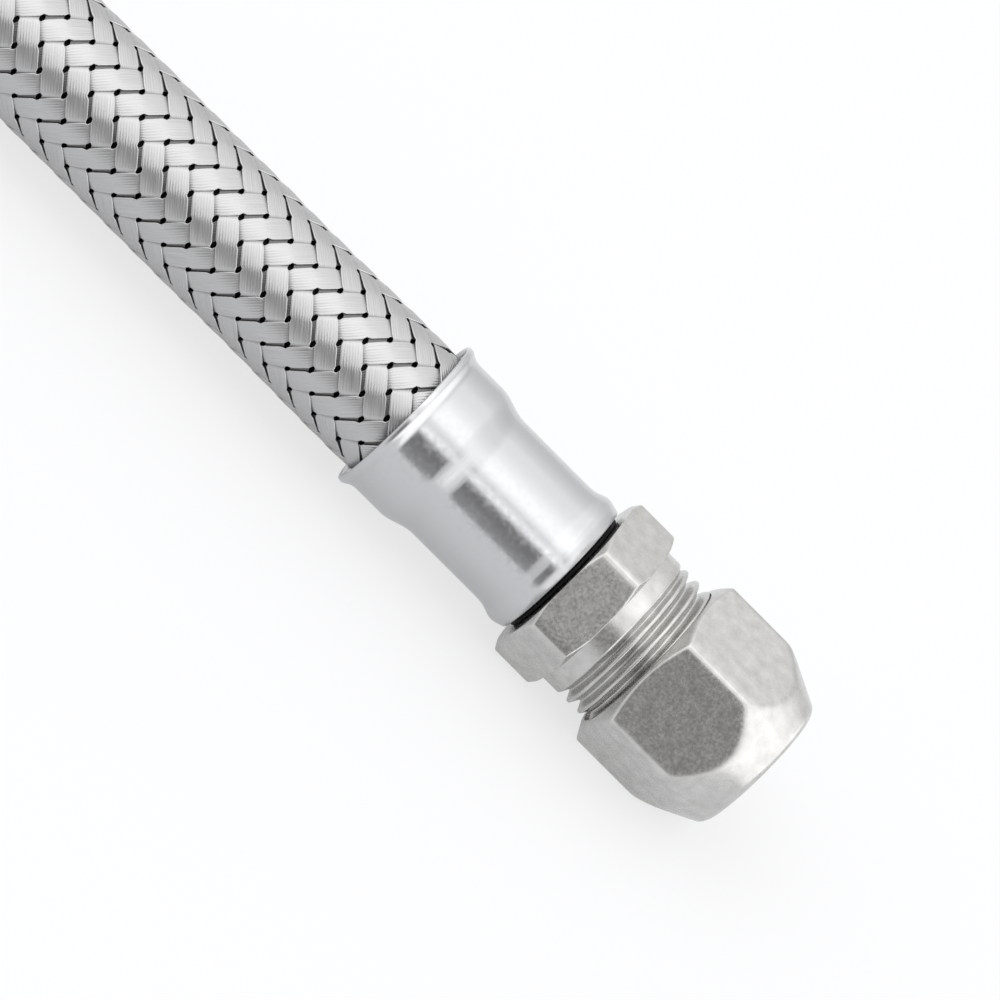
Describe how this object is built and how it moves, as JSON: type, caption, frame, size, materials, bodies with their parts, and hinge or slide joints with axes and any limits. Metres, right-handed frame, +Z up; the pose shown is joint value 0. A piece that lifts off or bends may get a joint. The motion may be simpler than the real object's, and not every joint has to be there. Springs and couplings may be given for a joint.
{
  "type": "braided flexible hose",
  "caption": "Straight wire-braided flexible hose with a compression nut and olive on one end and a swivel tap nut on the other, held by crimped ferrules.",
  "frame": {"origin": "middle of the hose's length and width, on the surface that the nuts' flats rest on", "axes": "+X along the hose towards the compression nut, +Z up; the hose's axis runs 11.5 mm above the origin"},
  "size_m": [0.3, 0.0266, 0.023],
  "materials": {
    "liner_rubber": "matt black",
    "braid_wire": "bright drawn wire",
    "ferrule_steel": "polished",
    "plated_brass": "satin nickel plate",
    "bare_brass": "turned",
    "washer_rubber": "matt black"
  },
  "bodies": {
    "root": {"inner_tube": "liner_rubber", "wire_braid": "braid_wire", "compression_end_ferrule": "ferrule_steel", "tap_end_ferrule": "ferrule_steel", "compression_body": "plated_brass", "tap_insert": "plated_brass", "tap_washer": "washer_rubber"},
    "olive": {"olive": "bare_brass"},
    "compression_nut": {"compression_nut": "plated_brass"},
    "swivel_nut": {"swivel_nut": "plated_brass"}
  },
  "joints": [
    {"name": "nut_travel", "type": "slide", "parent": "root", "child": "olive", "axis": [1, 0, 0], "range_m": [0, 0.00635]},
    {"name": "nut_turn", "type": "hinge", "parent": "olive", "child": "compression_nut", "pos_m": [0.1407, 0, 0.0115], "axis": [1, 0, 0], "range_deg": [0, 1260]},
    {"name": "swivel_nut_turn", "type": "hinge", "parent": "root", "child": "swivel_nut", "pos_m": [-0.1425, 0, 0.0115], "axis": [1, 0, 0], "continuous": true}
  ],
  "couplings": [
    {"joint": "nut_travel", "follows": "nut_turn", "m_per_rad": 0.00028871}
  ]
}
